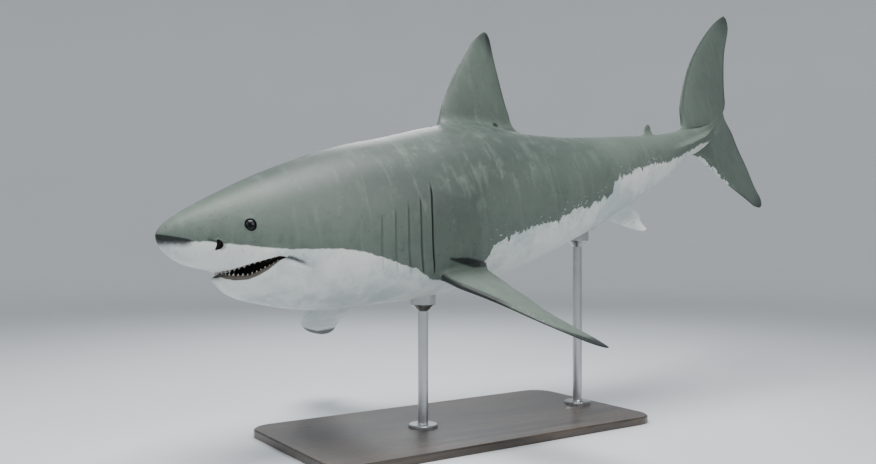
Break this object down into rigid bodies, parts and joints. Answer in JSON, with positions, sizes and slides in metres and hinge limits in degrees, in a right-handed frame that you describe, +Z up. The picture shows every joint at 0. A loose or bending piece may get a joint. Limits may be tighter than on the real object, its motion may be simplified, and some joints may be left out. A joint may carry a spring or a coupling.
{
  "type": "shark model",
  "caption": "Life-size still model of a sub-adult great white shark swimming, held on a flat display base by rods.",
  "frame": {"origin": "centre of the underside of the stand's base plate", "axes": "+Z up; the head points to -Y and the tail to +Y; the shark's left flank faces +X"},
  "size_m": [1.7017, 3.4822, 2.0385],
  "materials": {
    "skin": "slate-grey shark skin above, white below, satin",
    "eye": "black, wet gloss",
    "stand_base": "dark satin lacquer",
    "stand_rod": "brushed",
    "tooth": "ivory enamel, gloss"
  },
  "bodies": {
    "root": {"head": "skin", "lower_jaw": "skin", "gill_region": "skin", "trunk_front": "skin", "trunk_rear": "skin", "tail_stalk": "skin", "dorsal_fin": "skin", "second_dorsal_fin": "skin", "anal_fin": "skin", "caudal_upper_lobe": "skin", "caudal_lower_lobe": "skin", "pectoral_fin_left": "skin", "pectoral_fin_right": "skin", "pelvic_fin_left": "skin", "pelvic_fin_right": "skin", "eye_left": "eye", "eye_right": "eye", "stand_base": "stand_base", "stand_rod_front": "stand_rod", "stand_rod_rear": "stand_rod"}
  },
  "joints": []
}
